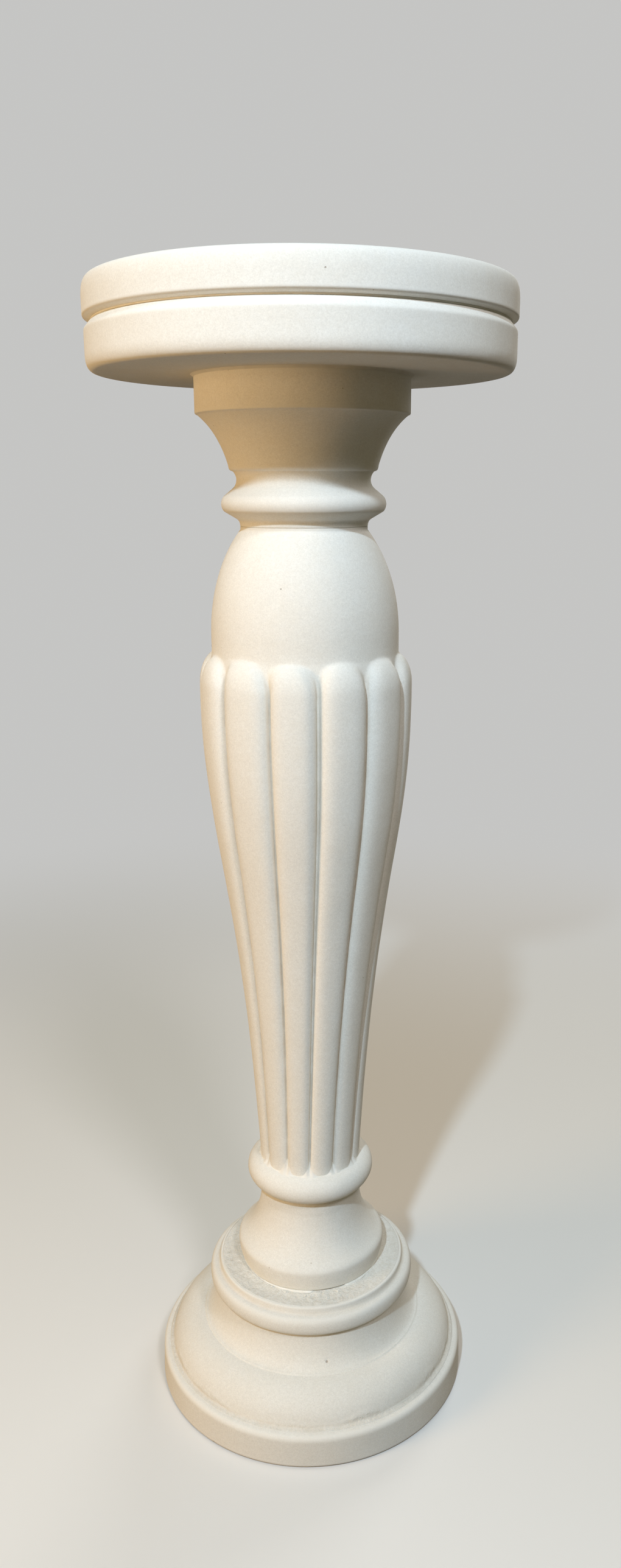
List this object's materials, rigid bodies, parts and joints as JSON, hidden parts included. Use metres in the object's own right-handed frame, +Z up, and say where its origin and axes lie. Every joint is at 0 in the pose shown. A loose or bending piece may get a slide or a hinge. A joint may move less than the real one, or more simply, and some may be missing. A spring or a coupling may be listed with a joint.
{
  "type": "pedestal column stand",
  "caption": "Round-topped pedestal column of pale cast plaster, with a moulded base, tapered reeded shaft, plain dome, ringed capital and grooved round table.",
  "frame": {"origin": "on the floor, at the centre of the base, on the column's axis", "axes": "+Z up along the column's axis, -Y towards the front as pictured, +X to the right"},
  "size_m": [0.3456, 0.3456, 1],
  "materials": {
    "plaster": "matte cast plaster, fine sandy speckle",
    "mortar": "matte",
    "sleeve_plastic": "matte",
    "zinc_steel": "bright zinc plate",
    "felt": "matte felt"
  },
  "bodies": {
    "root": {"base": "plaster", "foot": "plaster", "shaft": "plaster", "capital": "plaster", "lower_slab": "plaster", "upper_slab": "plaster", "foot_mortar": "mortar", "shaft_mortar": "mortar", "capital_mortar": "mortar", "slab_mortar": "mortar", "top_adhesive": "mortar", "foot_sleeve": "sleeve_plastic", "shaft_sleeve": "sleeve_plastic", "capital_sleeve": "sleeve_plastic", "slab_sleeve": "sleeve_plastic", "tie_rod": "zinc_steel", "lower_washer": "zinc_steel", "lower_nut": "zinc_steel", "lock_nut": "zinc_steel", "upper_washer": "zinc_steel", "upper_nut": "zinc_steel", "floor_pad_1": "felt", "floor_pad_2": "felt", "floor_pad_3": "felt", "floor_pad_4": "felt"}
  },
  "joints": []
}
